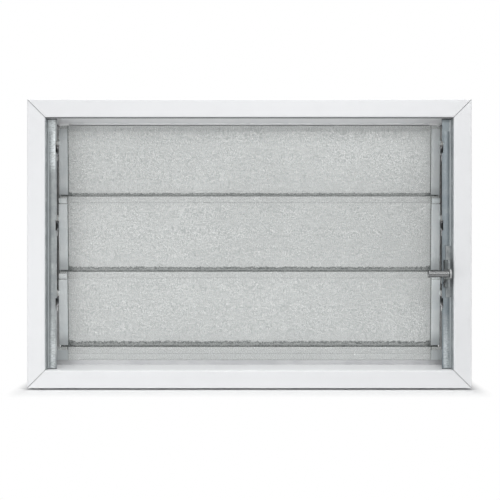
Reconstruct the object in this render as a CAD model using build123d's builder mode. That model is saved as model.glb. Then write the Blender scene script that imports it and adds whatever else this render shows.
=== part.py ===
from build123d import *
from math import cos, radians, sin
import os

# A jalousie window sash: three glass blades in a mitred white frame, turned together by a
# short crank on the right. Millimetres; X to the right as seen from the room, Y out of the
# room, Z up. The origin is the middle of the sill's underside, half way through the frame.

# ---- frame ----
frame_width = 600.0
frame_height = 390.0
frame_depth = 80.0
face_width = 24.0
frame_wall = 1.4
face_edge_radius = 1.5
mitre_gap = 0.4
chamber_web_depth = 30.0  # from the room face to the wall between the two chambers

# ---- corner keys and their screws ----
key_leg = 32.0
key_depth = 40.0
key_clearance = 0.3
key_screw_radius = 1.95
key_screw_head_radius = 3.2
key_screw_length = 14.0
key_screw_from_corner = 25.0
static_clearance = 0.05  # round a screw, rivet or pin that doesn't turn

# ---- fixing holes through the head and the sill ----
fixing_hole_radius = 2.6
fixing_spacing = 400.0
fixing_depth = 72.0  # from the room face

# ---- side plates ----
plate_gauge = 1.2
plate_setback = 13.0  # from the room face to the front flange
plate_rear_margin = 4.0
plate_end_clearance = 0.3
flange_width = 12.8
plate_bend_radius = 1.6
rib_width = 9.0
rib_height = 0.9
rib_recess_width = 6.6
rib_inset = 5.5  # from the inner face of the web to the middle of the rib
rib_top_margin = 17.0
notch_length = 16.0
notch_depth = 1.8
plate_rivet_depth = 38.0  # from the room face
plate_rivet_ends = 36.0  # from the sill and the head

# ---- rivets ----
rivet_radius = 1.6
rivet_head_radius = 3.2
rivet_head_height = 0.9
rivet_tail_radius = 2.6
rivet_tail_height = 1.2

# ---- blades ----
pivot_depth = 56.0  # from the room face
top_pivot_drop = 26.7  # from the head down to the upper pivot
strip_height = 25.0  # from the sill up to the top of the fixed strip
closed_tilt = 2.5  # degrees, top edge towards the room
open_angle = 85.0
glass_thickness = 4.0
glass_above_pivot = 30.7
glass_lap = 9.0
glass_end_clearance = 0.6
glass_face_clearance = 0.2
glass_edge_chamfer = 0.3
head_clearance = 2.5

# ---- blade holders ----
holder_gauge = 1.2
holder_side_gap = 3.8  # between a holder and the web of the side plate
holder_flange = 11.5
holder_above_pivot = 19.5
holder_tail = 11.3  # glass left bare below the holder
holder_bend_radius = 1.0
holder_boss_radius = 4.5
ear_radius = 4.2
ear_relief = 1.5

# ---- pivots ----
pivot_pin_radius = 2.5
pivot_head_radius = 4.5
pivot_head_height = 1.5
head_hole_clearance = 2.0
washer_radius = 4.5
washer_clearance = 0.1
running_clearance = 0.05

# ---- friction springs ----
spring_gauge = 0.5
spring_width = 8.0
spring_bow_length = 14.0
spring_drop = 12.0  # from a pivot down to the middle of its spring
spring_foot = 7.0
spring_clearance = 0.3

# ---- tie bars and the pins that drive the blades ----
drive_radius = 16.0
drive_pin_radius = 2.0
drive_pin_head_radius = 3.2
drive_pin_head_height = 0.8
tie_bar_gap = 0.6  # between a holder and the tie bar
tie_bar_width = 9.0
tie_bar_gauge = 1.2
tie_bar_head_gap = 0.2
open_pivot_clearance = 0.3

# ---- crank ----
crank_pivot_depth = 7.0
crank_rise = 28.9  # above the lower blade pivot
crank_inset = 1.7  # from the inner edge of the flange to the slot
crank_slot_clearance = 0.3
crank_gauge = 2.4
crank_arm = 20.5
crank_grip_rise = 0.5
crank_front_radius = 7.0
crank_boss_radius = 6.5
crank_rear_radius = 3.5
crank_pin_head_radius = 4.5
crank_pin_head_height = 0.8
crank_pin_tail_height = 1.1
crank_play = 0.2
slot_height = 38.0

# ---- grip ----
grip_radius = 4.6
grip_wall = 1.2
grip_length = 26.6
grip_neck = 0.9
grip_neck_radius = 2.6
grip_seam = 0.4
grip_end_radius = 0.8
grip_pin_head_recess = 0.6

# ---- crank bracket ----
bracket_gauge = 1.5
bracket_reach = 16.0
bracket_corner_radius = 4.0
bracket_foot_above = 19.0
bracket_foot_below = 13.0
bracket_foot_margin = 0.3
bracket_rivet_inset = 6.5
bracket_rivet_tail_radius = 1.8

# ---- link between the crank and the right tie bar ----
link_arm_height = 7.2
link_collar_radius = 3.0

# ---- fixed strip above the sill ----
strip_thickness = 4.0
strip_depth = 54.8  # from the room face to the middle of the strip
strip_end_clearance = 2.0
channel_gauge = 1.2
channel_height = 6.5
setting_block_height = 1.5
setting_block_length = 30.0
setting_block_spacing = 360.0
channel_rivet_spacing = 160.0
channel_rivet_count = 3
clip_gauge = 1.2
clip_height = 14.0
clip_gap = 0.2  # above the channel
clip_reach = 17.2
clip_foot = 13.0
clip_rivet_setback = 8.5

# ---- stop under the head ----
stop_gauge = 1.2
stop_drop = 10.5
stop_leg = 9.0
stop_end_margin = 2.0
stop_rivet_spacing = 150.0
stop_rivet_count = 4
seal_thickness = 1.0
seal_clearance = 0.3
seal_height = 7.5
seal_rise = 0.8  # from the lower edge of the stop

# ---- places worked out from the sizes above ----
room_face = -frame_depth / 2
opening_half = frame_width / 2 - face_width
opening_bottom = face_width
opening_top = frame_height - face_width
hollow = face_width - 2 * frame_wall

web_face = opening_half - plate_gauge
flange_front = room_face + plate_setback
flange_rear = flange_front + plate_gauge
flange_edge = opening_half - flange_width
plate_rear = room_face + frame_depth - plate_rear_margin
plate_bottom = opening_bottom + plate_end_clearance
plate_top = opening_top - plate_end_clearance

blade_names = ["upper", "middle", "lower"]
pivot_y = room_face + pivot_depth
upper_pivot_z = opening_top - top_pivot_drop
strip_top = opening_bottom + strip_height
blade_pitch = (upper_pivot_z + glass_above_pivot - strip_top) / len(blade_names)
pivot_heights = [upper_pivot_z - blade_pitch * place for place in range(len(blade_names))]
lower_pivot_z = pivot_heights[-1]
middle_pivot_z = pivot_heights[1]
glass_below_pivot = blade_pitch - glass_above_pivot + glass_lap
upper_glass_above = min(glass_above_pivot, top_pivot_drop - head_clearance)

holder_outer = web_face - holder_side_gap
holder_inner = holder_outer - holder_gauge
holder_half_depth = glass_thickness / 2 + glass_face_clearance + holder_gauge
holder_below_pivot = glass_below_pivot - holder_tail
glass_half = holder_inner - glass_end_clearance

drive_y = drive_radius * cos(radians(open_angle / 2))
drive_drop = drive_radius * sin(radians(open_angle / 2))
tie_bar_inner = holder_outer + tie_bar_gap
tie_bar_outer = tie_bar_inner + tie_bar_gauge
tie_bar_y = pivot_y + drive_y

slot_left = flange_edge + crank_inset
crank_inner = slot_left + crank_slot_clearance
crank_outer = crank_inner + crank_gauge
slot_right = crank_outer + crank_slot_clearance
crank_y = room_face + crank_pivot_depth
crank_z = lower_pivot_z + crank_rise
link_y = crank_y + drive_y
link_z = crank_z - drive_drop
grip_y = crank_y - crank_arm
grip_z = crank_z + crank_grip_rise
grip_right = crank_inner - grip_neck
grip_left = grip_right - grip_length
bracket_left = crank_outer + crank_play
bracket_right = bracket_left + bracket_gauge
foot_right = opening_half - bracket_foot_margin
foot_bottom = crank_z - slot_height / 2 - bracket_foot_below
foot_top = crank_z + slot_height / 2 + bracket_foot_above

strip_y = room_face + strip_depth
strip_half = web_face - strip_end_clearance
channel_half_depth = strip_thickness / 2 + glass_face_clearance + channel_gauge
strip_bottom = opening_bottom + channel_gauge + setting_block_height

tilt = radians(closed_tilt)
stop_lower_edge = opening_top - stop_drop
glass_rear_at_stop = (
    pivot_y
    + glass_thickness / 2 / cos(tilt)
    - (stop_lower_edge - upper_pivot_z) * sin(tilt) / cos(tilt)
)
seal_front = glass_rear_at_stop + seal_clearance
stop_front = seal_front + seal_thickness
stop_half = holder_inner - holder_flange - stop_end_margin
stop_rivet_y = stop_front + stop_gauge + (stop_leg - stop_gauge) / 2

key_y = room_face + chamber_web_depth + frame_wall + key_clearance + key_depth / 2
key_screw_x = frame_width / 2 - key_screw_from_corner
fixing_y = room_face + fixing_depth
plate_rivet_y = room_face + plate_rivet_depth
plate_rivet_heights = [
    opening_bottom + plate_rivet_ends,
    (opening_bottom + opening_top) / 2,
    opening_top - plate_rivet_ends,
]
clip_y = strip_y - strip_thickness / 2 - glass_face_clearance - clip_gauge
clip_rivet_y = clip_y + clip_rivet_setback
clip_bottom = opening_bottom + channel_height + clip_gap
clip_rivet_z = clip_bottom + clip_height / 2
spring_rivet_drop = spring_drop + spring_bow_length / 2 + spring_foot / 2
bracket_rivet_x = (bracket_right + foot_right) / 2
bracket_rivet_places = [
    (bracket_rivet_x, foot_bottom + bracket_rivet_inset),
    (bracket_rivet_x, foot_top - bracket_rivet_inset),
]


def blade_plane(pivot_z, along=0.0):
    """A blade's cross-section, `along` above the pivot: x along the window, y out through it."""
    upwards = Vector(0, -sin(tilt), cos(tilt))
    pivot = Vector(0, pivot_y, pivot_z)
    return Plane(origin=pivot + upwards * along, x_dir=(1, 0, 0), z_dir=upwards)


def spread(count, spacing):
    """Places at equal spacing, centred on nought."""
    return [(place - (count - 1) / 2) * spacing for place in range(count)]


def round_steps(centre, steps):
    """Pins along X: each step is (from, to, radius), every one centred on (y, z) `centre`."""
    with BuildPart() as pin:
        for start, end, radius in steps:
            with BuildSketch(Plane.YZ.offset(start)):
                with Locations(centre):
                    Circle(radius)
            extrude(amount=end - start)
    return pin.part


def write(part, name):
    """Name a finished piece and write it down."""
    part.label = name
    export_step(part, f"parts/{name}.step")


def both_sides(part):
    """A piece of the right side with its mirror image on the left."""
    with BuildPart() as pair:
        add(part)
        mirror(about=Plane.YZ)
    return pair.part


def on_side(part, side):
    """A piece of the right side, or its mirror image where `side` is left."""
    if side == "right":
        return part
    with BuildPart() as mirrored:
        add(part)
        mirror(about=Plane.YZ, mode=Mode.REPLACE)
    return mirrored.part


# ---- frame members ----
def frame_member(outer_middle, along, length):
    """A mitred two-chamber section; `outer_middle` is the middle of its outer side."""
    depth_axis = Vector(0, 1, 0)
    inward = along.cross(depth_axis)
    room_chamber = chamber_web_depth - frame_wall
    rear_chamber = frame_depth - chamber_web_depth - 2 * frame_wall
    with BuildPart() as member:
        with BuildSketch(Plane(origin=outer_middle, x_dir=depth_axis, z_dir=along)):
            with Locations((0, face_width / 2)):
                outline = Rectangle(frame_depth, face_width)
            fillet(outline.vertices(), face_edge_radius)
            with Locations((room_face + frame_wall, face_width / 2)):
                Rectangle(room_chamber, hollow, align=(Align.MIN, Align.CENTER), mode=Mode.SUBTRACT)
            with Locations((room_face + chamber_web_depth + frame_wall, face_width / 2)):
                Rectangle(rear_chamber, hollow, align=(Align.MIN, Align.CENTER), mode=Mode.SUBTRACT)
        extrude(amount=length / 2, both=True)
        for end in (-1, 1):
            outer_corner = outer_middle + along * (end * length / 2)
            outwards = (along * end + inward).normalized()
            cut = Plane(origin=outer_corner - outwards * (mitre_gap / 2), z_dir=outwards)
            split(bisect_by=cut, keep=Keep.BOTTOM)
    return member.part


def key_screw_hole():
    """The countersunk hole of a corner screw, in the plane of the wall it goes through."""
    CounterSinkHole(
        radius=key_screw_radius + static_clearance,
        counter_sink_radius=key_screw_head_radius + static_clearance,
        depth=2 * frame_wall,
    )


def cross_member(outer_z, along, rivet_y, rivet_places):
    """The head or the sill: `outer_z` is the height of its outer side."""
    outwards = 1 if outer_z > frame_height / 2 else -1
    member = frame_member(Vector(0, 0, outer_z), along, frame_width)
    outer_side = Plane(origin=(0, 0, outer_z), x_dir=(1, 0, 0), z_dir=(0, 0, outwards))
    inner_side = Plane(
        origin=(0, 0, outer_z - outwards * face_width), x_dir=(1, 0, 0), z_dir=(0, 0, -outwards)
    )
    with BuildPart() as cross:
        add(member)
        with Locations(outer_side):
            with Locations(*[(x, outwards * key_y) for x in (-key_screw_x, key_screw_x)]):
                key_screw_hole()
            with Locations(*[(x, outwards * fixing_y) for x in spread(2, fixing_spacing)]):
                Hole(fixing_hole_radius, depth=face_width + frame_wall)
        with Locations(inner_side):
            with Locations(*[(x, -outwards * rivet_y) for x in rivet_places]):
                Hole(rivet_radius + static_clearance, depth=2 * frame_wall)
    return cross.part


def jamb(side):
    """A jamb, with room in its inner wall for the pivot heads and the rivet tails."""
    member = frame_member(Vector(frame_width / 2, 0, frame_height / 2), Vector(0, 0, 1), frame_height)
    outer_side = Plane(origin=(frame_width / 2, 0, 0), x_dir=(0, 1, 0), z_dir=(1, 0, 0))
    inner_side = Plane(origin=(opening_half, 0, 0), x_dir=(0, -1, 0), z_dir=(-1, 0, 0))
    key_screw_heights = (key_screw_from_corner, frame_height - key_screw_from_corner)
    rivet_places = [(-plate_rivet_y, z) for z in plate_rivet_heights]
    rivet_places.append((-clip_rivet_y, clip_rivet_z))
    with BuildPart() as upright:
        add(member)
        with Locations(outer_side):
            with Locations(*[(key_y, z) for z in key_screw_heights]):
                key_screw_hole()
        with Locations(inner_side):
            with Locations(*[(-pivot_y, z) for z in pivot_heights]):
                Hole(pivot_head_radius + head_hole_clearance, depth=2 * frame_wall)
            with Locations(*[(-pivot_y, z - spring_rivet_drop) for z in pivot_heights]):
                Hole(rivet_tail_radius + static_clearance, depth=2 * frame_wall)
            with Locations(*rivet_places):
                Hole(rivet_radius + static_clearance, depth=2 * frame_wall)
    return on_side(upright.part, side)


def corner_key():
    """The cast key in the upper right corner, drilled for its two screws."""
    outer_x = frame_width / 2 - frame_wall - key_clearance
    outer_z = frame_height - frame_wall - key_clearance
    thickness = hollow - 2 * key_clearance
    with BuildPart() as key:
        with BuildSketch(Plane.XZ.offset(-key_y - key_depth / 2)):
            with Locations((outer_x, outer_z)):
                Rectangle(key_leg, thickness, align=(Align.MAX, Align.MAX))
                Rectangle(thickness, key_leg, align=(Align.MAX, Align.MAX))
        extrude(amount=key_depth)
        with Locations(Plane(origin=(key_screw_x, key_y, outer_z), z_dir=(0, 0, 1))):
            Hole(key_screw_radius + static_clearance, depth=key_screw_length)
        screw_z = frame_height - key_screw_from_corner
        with Locations(Plane(origin=(outer_x, key_y, screw_z), z_dir=(1, 0, 0))):
            Hole(key_screw_radius + static_clearance, depth=key_screw_length)
    return key.part


def key_screw(outer_side):
    """A countersunk screw, its head flush with `outer_side`."""
    with BuildPart() as screw:
        with BuildSketch(outer_side):
            Circle(key_screw_head_radius)
        extrude(amount=-(key_screw_head_radius - key_screw_radius), taper=45)
        with BuildSketch(outer_side):
            Circle(key_screw_radius)
        extrude(amount=-key_screw_length)
    return screw.part


def four_corners(part):
    """A piece of the upper right corner, repeated in all four."""
    with BuildPart() as corners:
        add(part)
        mirror(about=Plane.YZ)
        mirror(about=Plane.XY.offset(frame_height / 2))
    return corners.part


def write_frame():
    stop_rivets = spread(stop_rivet_count, stop_rivet_spacing)
    head = cross_member(frame_height, Vector(-1, 0, 0), stop_rivet_y, stop_rivets)
    write(head, "frame_head")
    channel_rivets = spread(channel_rivet_count, channel_rivet_spacing)
    sill = cross_member(0.0, Vector(1, 0, 0), strip_y, channel_rivets)
    write(sill, "frame_sill")
    for side in ("left", "right"):
        write(jamb(side), f"frame_jamb_{side}")
    write(four_corners(corner_key()), "corner_keys")
    screw_z = frame_height - key_screw_from_corner
    top_side = Plane(origin=(key_screw_x, key_y, frame_height), z_dir=(0, 0, 1))
    right_side = Plane(origin=(frame_width / 2, key_y, screw_z), z_dir=(1, 0, 0))
    with BuildPart() as screws:
        add(key_screw(top_side))
        add(key_screw(right_side))
    write(four_corners(screws.part), "corner_screws")


# ---- side plates and what is fastened to them ----
def rib_spans(side):
    """The stretches of the flange that carry the pressed rib, broken for the crank's bracket."""
    bottom = plate_bottom
    top = plate_top - rib_top_margin
    if side == "left":
        return [(bottom, top)]
    return [(bottom, foot_bottom - rib_height), (foot_top + rib_height, top)]


def rib_arch(width, base_y, bottom):
    """A low arch on the line y = `base_y`, bulging towards the room."""
    middle = web_face - rib_inset
    left = (middle - width / 2, base_y)
    right = (middle + width / 2, base_y)
    with BuildSketch(Plane.XY.offset(bottom)) as arch:
        with BuildLine():
            ThreePointArc(left, (middle, base_y - rib_height), right)
            Line(right, left)
        make_face()
    return arch.sketch


def side_plate(side):
    """A bent steel plate: its web lies on the jamb and its flange faces the room."""
    with BuildPart() as plate:
        with BuildSketch(Plane.XY.offset(plate_bottom)) as section:
            with Locations((web_face, flange_front)):
                Rectangle(plate_gauge, plate_rear - flange_front, align=(Align.MIN, Align.MIN))
            with Locations((flange_edge, flange_front)):
                Rectangle(flange_width, plate_gauge, align=(Align.MIN, Align.MIN))
            outer_bend = section.vertices().sort_by_distance((opening_half, flange_front))[0]
            fillet(outer_bend, plate_bend_radius)
            inner_bend = section.vertices().sort_by_distance((web_face, flange_rear))[0]
            fillet(inner_bend, plate_bend_radius - plate_gauge)
        extrude(amount=plate_top - plate_bottom)
        for bottom, top in rib_spans(side):
            extrude(rib_arch(rib_width, flange_front, bottom), amount=top - bottom)
            recess = rib_arch(rib_recess_width, flange_rear, bottom)
            extrude(recess, amount=top - bottom, mode=Mode.SUBTRACT)
        flange_plane = Plane.XZ.offset(-flange_rear)
        with BuildSketch(flange_plane):
            with Locations(*[(flange_edge, z - spring_drop) for z in pivot_heights]):
                SlotOverall(notch_length, 2 * notch_depth, rotation=90)
        extrude(amount=plate_gauge, mode=Mode.SUBTRACT)
        with Locations(Plane(origin=(web_face, 0, 0), x_dir=(0, -1, 0), z_dir=(-1, 0, 0))):
            with Locations(*[(-pivot_y, z) for z in pivot_heights]):
                Hole(pivot_pin_radius + static_clearance, depth=2 * plate_gauge)
            with Locations(*[(-pivot_y, z - spring_rivet_drop) for z in pivot_heights]):
                Hole(rivet_radius + static_clearance, depth=2 * plate_gauge)
            with Locations(*[(-plate_rivet_y, z) for z in plate_rivet_heights]):
                Hole(rivet_radius + static_clearance, depth=2 * plate_gauge)
            with Locations((-clip_rivet_y, clip_rivet_z)):
                Hole(rivet_radius + static_clearance, depth=2 * plate_gauge)
        if side == "right":
            with BuildSketch(flange_plane):
                with Locations(((slot_left + slot_right) / 2, crank_z)):
                    SlotOverall(slot_height, slot_right - slot_left, rotation=90)
                with Locations(*bracket_rivet_places):
                    Circle(rivet_radius + static_clearance)
            extrude(amount=plate_gauge, mode=Mode.SUBTRACT)
    return on_side(plate.part, side)


def side_rivet(y, z, head_face, grip):
    """A rivet along X through `grip` of metal, its head against `head_face`."""
    tail = head_face + grip
    return round_steps(
        (y, z),
        [
            (head_face - rivet_head_height, head_face, rivet_head_radius),
            (head_face, tail, rivet_radius),
            (tail, tail + rivet_tail_height, rivet_tail_radius),
        ],
    )


def together(pieces):
    """Separate like pieces, kept as one group."""
    with BuildPart() as group:
        for piece in pieces:
            add(piece)
    return group.part


def pivot_pin(pivot_z):
    """The stub that a holder turns on, headed on the jamb side of the side plate."""
    return round_steps(
        (pivot_y, pivot_z),
        [
            (holder_inner + washer_clearance, opening_half, pivot_pin_radius),
            (opening_half, opening_half + pivot_head_height, pivot_head_radius),
        ],
    )


def pivot_washer(pivot_z):
    """The spacer on a pivot pin, between the holder and the side plate."""
    start = holder_outer + washer_clearance
    with BuildPart() as washer:
        with BuildSketch(Plane.YZ.offset(start)):
            with Locations((pivot_y, pivot_z)):
                Circle(washer_radius)
                Circle(pivot_pin_radius + running_clearance, mode=Mode.SUBTRACT)
        extrude(amount=web_face - washer_clearance - start)
    return washer.part


def friction_spring(pivot_z):
    """A bowed leaf on the side plate that presses towards the holder and stops it drifting."""
    middle_z = pivot_z - spring_drop
    half = spring_bow_length / 2
    crest = holder_outer + spring_clearance
    foot_end = middle_z - half - spring_foot
    with BuildPart() as spring:
        with BuildSketch(Plane.XZ.offset(-pivot_y - spring_width / 2)):
            with BuildLine():
                ThreePointArc((web_face, middle_z + half), (crest, middle_z), (web_face, middle_z - half))
                Line((web_face, middle_z - half), (web_face, middle_z - half + spring_gauge))
                ThreePointArc(
                    (web_face, middle_z - half + spring_gauge),
                    (crest + spring_gauge, middle_z),
                    (web_face, middle_z + half - spring_gauge),
                )
                Line((web_face, middle_z + half - spring_gauge), (web_face, middle_z + half))
            make_face()
            with Locations((web_face, foot_end)):
                Rectangle(spring_gauge, spring_foot + spring_gauge, align=(Align.MAX, Align.MIN))
        extrude(amount=spring_width)
        with Locations(
            Plane(
                origin=(web_face - spring_gauge, pivot_y, pivot_z - spring_rivet_drop),
                z_dir=(-1, 0, 0),
            )
        ):
            Hole(rivet_radius + static_clearance, depth=2 * spring_gauge)
    return spring.part


def write_side_plates():
    for side in ("left", "right"):
        write(side_plate(side), f"side_plate_{side}")
    wall_grip = plate_gauge + frame_wall
    plate_rivets = [side_rivet(plate_rivet_y, z, web_face, wall_grip) for z in plate_rivet_heights]
    write(both_sides(together(plate_rivets)), "side_plate_rivets")
    write(both_sides(together([pivot_pin(z) for z in pivot_heights])), "pivot_pins")
    write(both_sides(together([pivot_washer(z) for z in pivot_heights])), "pivot_washers")
    write(both_sides(together([friction_spring(z) for z in pivot_heights])), "friction_springs")
    leaf_face = web_face - spring_gauge
    leaf_grip = spring_gauge + plate_gauge
    leaf_rivets = [
        side_rivet(pivot_y, z - spring_rivet_drop, leaf_face, leaf_grip) for z in pivot_heights
    ]
    write(both_sides(together(leaf_rivets)), "spring_rivets")


# ---- blades ----
def blade_glass(name, pivot_z):
    above = upper_glass_above if name == "upper" else glass_above_pivot
    with BuildPart() as glass:
        with BuildSketch(blade_plane(pivot_z, -glass_below_pivot)):
            Rectangle(2 * glass_half, glass_thickness)
        extrude(amount=glass_below_pivot + above)
        chamfer(glass.edges(), glass_edge_chamfer)
    return glass.part


def blade_holder(side, pivot_z):
    """A steel channel round one end of a blade, with an ear for the tie bar's pin."""
    drive = (tie_bar_y, pivot_z - drive_drop)
    with BuildPart() as holder:
        with BuildSketch(blade_plane(pivot_z, -holder_below_pivot)) as section:
            with Locations((holder_outer, 0)):
                Rectangle(
                    holder_gauge + holder_flange, 2 * holder_half_depth, align=(Align.MAX, Align.CENTER)
                )
            bends = section.vertices().group_by(Axis.X)[-1]
            fillet(bends, holder_bend_radius)
            with Locations((holder_inner, 0)):
                Rectangle(
                    2 * holder_flange,
                    2 * (holder_half_depth - holder_gauge),
                    align=(Align.MAX, Align.CENTER),
                    mode=Mode.SUBTRACT,
                )
        extrude(amount=holder_below_pivot + holder_above_pivot)
        relief_middle = -drive_drop / 2 - ear_relief
        relief_height = drive_drop + 2 * ear_relief
        with BuildSketch(blade_plane(pivot_z, relief_middle - relief_height / 2)):
            with Locations((holder_inner, glass_thickness / 2 + glass_face_clearance)):
                Rectangle(2 * holder_flange, 2 * holder_gauge, align=(Align.MAX, Align.MIN))
        extrude(amount=relief_height, mode=Mode.SUBTRACT)
        with BuildSketch(Plane.YZ.offset(holder_inner)):
            with Locations((pivot_y, pivot_z)):
                Circle(holder_boss_radius)
            with Locations(drive):
                Circle(ear_radius)
            make_hull()
        extrude(amount=holder_gauge)
        with BuildSketch(Plane.YZ.offset(holder_inner)):
            with Locations((pivot_y, pivot_z)):
                Circle(pivot_pin_radius + running_clearance)
            with Locations(drive):
                Circle(drive_pin_radius + static_clearance)
        extrude(amount=holder_gauge, mode=Mode.SUBTRACT)
    return on_side(holder.part, side)


def drive_pin(pivot_z):
    """The pin that joins a holder's ear to the tie bar, riveted over in the ear."""
    return round_steps(
        (tie_bar_y, pivot_z - drive_drop),
        [
            (holder_inner - drive_pin_head_height, holder_inner, drive_pin_head_radius),
            (holder_inner, tie_bar_outer + tie_bar_head_gap, drive_pin_radius),
            (
                tie_bar_outer + tie_bar_head_gap,
                tie_bar_outer + tie_bar_head_gap + drive_pin_head_height,
                drive_pin_head_radius,
            ),
        ],
    )


def write_blades():
    for name, pivot_z in zip(blade_names, pivot_heights):
        write(blade_glass(name, pivot_z), f"blade_glass_{name}")
        for side in ("left", "right"):
            write(blade_holder(side, pivot_z), f"blade_holder_{name}_{side}")
        write(both_sides(drive_pin(pivot_z)), f"drive_pins_{name}")


# ---- tie bars ----
def tie_bar(side):
    """The flat bar that keeps the three blades parallel; the right one has the crank's arm."""
    with BuildPart() as bar:
        with BuildSketch(Plane.YZ.offset(tie_bar_inner)):
            with Locations((tie_bar_y, middle_pivot_z - drive_drop)):
                SlotCenterToCenter(2 * blade_pitch, tie_bar_width, rotation=90)
            if side == "right":
                with Locations(((tie_bar_y + link_y) / 2, link_z)):
                    SlotCenterToCenter(tie_bar_y - link_y, link_arm_height)
                with Locations((link_y, link_z)):
                    Circle(drive_pin_radius + static_clearance, mode=Mode.SUBTRACT)
            for name, pivot_z in zip(blade_names, pivot_heights):
                clearance = running_clearance if name == "middle" else open_pivot_clearance
                with Locations((tie_bar_y, pivot_z - drive_drop)):
                    Circle(drive_pin_radius + clearance, mode=Mode.SUBTRACT)
        extrude(amount=tie_bar_gauge)
    return on_side(bar.part, side)


def write_tie_bars():
    for side in ("left", "right"):
        write(tie_bar(side), f"tie_bar_{side}")
    link_steps = [
        (crank_inner - crank_play - drive_pin_head_height, crank_inner - crank_play, drive_pin_head_radius),
        (crank_inner - crank_play, crank_outer + crank_play, drive_pin_radius),
        (crank_outer + crank_play, tie_bar_inner, link_collar_radius),
        (tie_bar_inner, tie_bar_outer, drive_pin_radius),
        (tie_bar_outer, tie_bar_outer + drive_pin_head_height, drive_pin_head_radius),
    ]
    write(round_steps((link_y, link_z), link_steps), "crank_link_pin")


# ---- crank ----
def crank_lever():
    """The flat lever: grip in front, boss on the pivot, short arm through the slot."""
    front = (grip_y, grip_z)
    boss = (crank_y, crank_z)
    rear = (link_y, link_z)
    lever_plane = Plane.YZ.offset(crank_inner)
    with BuildPart() as lever:
        with BuildSketch(lever_plane):
            with Locations(front):
                Circle(crank_front_radius)
            with Locations(boss):
                Circle(crank_boss_radius)
            make_hull()
        extrude(amount=crank_gauge)
        with BuildSketch(lever_plane):
            with Locations(boss):
                Circle(crank_boss_radius)
            with Locations(rear):
                Circle(crank_rear_radius)
            make_hull()
        extrude(amount=crank_gauge)
        with BuildSketch(lever_plane):
            with Locations(front):
                Circle(drive_pin_radius + static_clearance)
            with Locations(boss):
                Circle(pivot_pin_radius + running_clearance)
            with Locations(rear):
                Circle(drive_pin_radius + open_pivot_clearance)
        extrude(amount=crank_gauge, mode=Mode.SUBTRACT)
    return lever.part


def crank_grip():
    """A rolled sleeve with its seam facing the room."""
    with BuildPart() as grip:
        with BuildSketch(Plane.YZ.offset(grip_left)):
            with Locations((grip_y, grip_z)):
                Circle(grip_radius)
        extrude(amount=grip_length)
        fillet(grip.edges().group_by(Axis.X)[0], grip_end_radius)
        with BuildSketch(Plane.YZ.offset(grip_left)):
            with Locations((grip_y, grip_z)):
                Circle(grip_radius - grip_wall)
                Rectangle(2 * grip_radius, grip_seam, align=(Align.MAX, Align.CENTER))
        extrude(amount=grip_length, mode=Mode.SUBTRACT)
    return grip.part


def crank_bracket():
    """An angle riveted to the flange; its ear carries the crank's pivot pin."""
    slot_bottom = crank_z - slot_height / 2
    with BuildPart() as bracket:
        with BuildSketch(Plane.YZ.offset(bracket_left)) as ear:
            with Locations((flange_front, slot_bottom)):
                Rectangle(bracket_reach, slot_height, align=(Align.MAX, Align.MIN))
            fillet(ear.vertices().group_by(Axis.X)[0], bracket_corner_radius)
            with Locations((crank_y, crank_z)):
                Circle(pivot_pin_radius + static_clearance, mode=Mode.SUBTRACT)
        extrude(amount=bracket_gauge)
        with BuildSketch(Plane.XZ.offset(-flange_front)) as foot:
            with Locations((bracket_left, foot_bottom)):
                Rectangle(foot_right - bracket_left, foot_top - foot_bottom, align=(Align.MIN, Align.MIN))
            fillet(foot.vertices(), bracket_gauge)
            with Locations(*bracket_rivet_places):
                Circle(rivet_radius + static_clearance, mode=Mode.SUBTRACT)
        extrude(amount=bracket_gauge)
    return bracket.part


def bracket_rivet(x, z):
    """A rivet along Y through the bracket's foot and the flange."""
    front = flange_front - bracket_gauge
    steps = [
        (front - rivet_head_height, front, rivet_head_radius),
        (front, flange_rear, rivet_radius),
        (flange_rear, flange_rear + rivet_tail_height, bracket_rivet_tail_radius),
    ]
    with BuildPart() as rivet:
        for start, end, radius in steps:
            with BuildSketch(Plane.XZ.offset(-end)):
                with Locations((x, z)):
                    Circle(radius)
            extrude(amount=end - start)
    return rivet.part


def write_crank():
    write(crank_lever(), "crank_lever")
    write(crank_grip(), "crank_grip")
    grip_pin_steps = [
        (grip_left + grip_pin_head_recess, grip_right, grip_radius - grip_wall - static_clearance),
        (grip_right, crank_inner, grip_neck_radius),
        (crank_inner, crank_outer, drive_pin_radius),
    ]
    write(round_steps((grip_y, grip_z), grip_pin_steps), "crank_grip_pin")
    write(crank_bracket(), "crank_bracket")
    pivot_head = crank_inner - crank_play
    pivot_steps = [
        (pivot_head - crank_pin_head_height, pivot_head, crank_pin_head_radius),
        (pivot_head, bracket_right, pivot_pin_radius),
        (bracket_right, bracket_right + crank_pin_tail_height, rivet_head_radius),
    ]
    write(round_steps((crank_y, crank_z), pivot_steps), "crank_pivot_pin")
    write(together([bracket_rivet(x, z) for x, z in bracket_rivet_places]), "crank_bracket_rivets")


# ---- fixed strip above the sill ----
def sill_channel():
    """The aluminium channel that the strip of glass stands in."""
    with BuildPart() as channel:
        with BuildSketch(Plane.YZ.offset(-strip_half)):
            with Locations((strip_y, opening_bottom)):
                Rectangle(2 * channel_half_depth, channel_height, align=(Align.CENTER, Align.MIN))
            with Locations((strip_y, opening_bottom + channel_gauge)):
                Rectangle(
                    2 * (channel_half_depth - channel_gauge),
                    channel_height,
                    align=(Align.CENTER, Align.MIN),
                    mode=Mode.SUBTRACT,
                )
        extrude(amount=2 * strip_half)
        with Locations(Plane(origin=(0, strip_y, opening_bottom + channel_gauge), z_dir=(0, 0, 1))):
            with Locations(*[(x, 0) for x in spread(channel_rivet_count, channel_rivet_spacing)]):
                Hole(rivet_radius + static_clearance, depth=2 * channel_gauge)
    return channel.part


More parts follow.
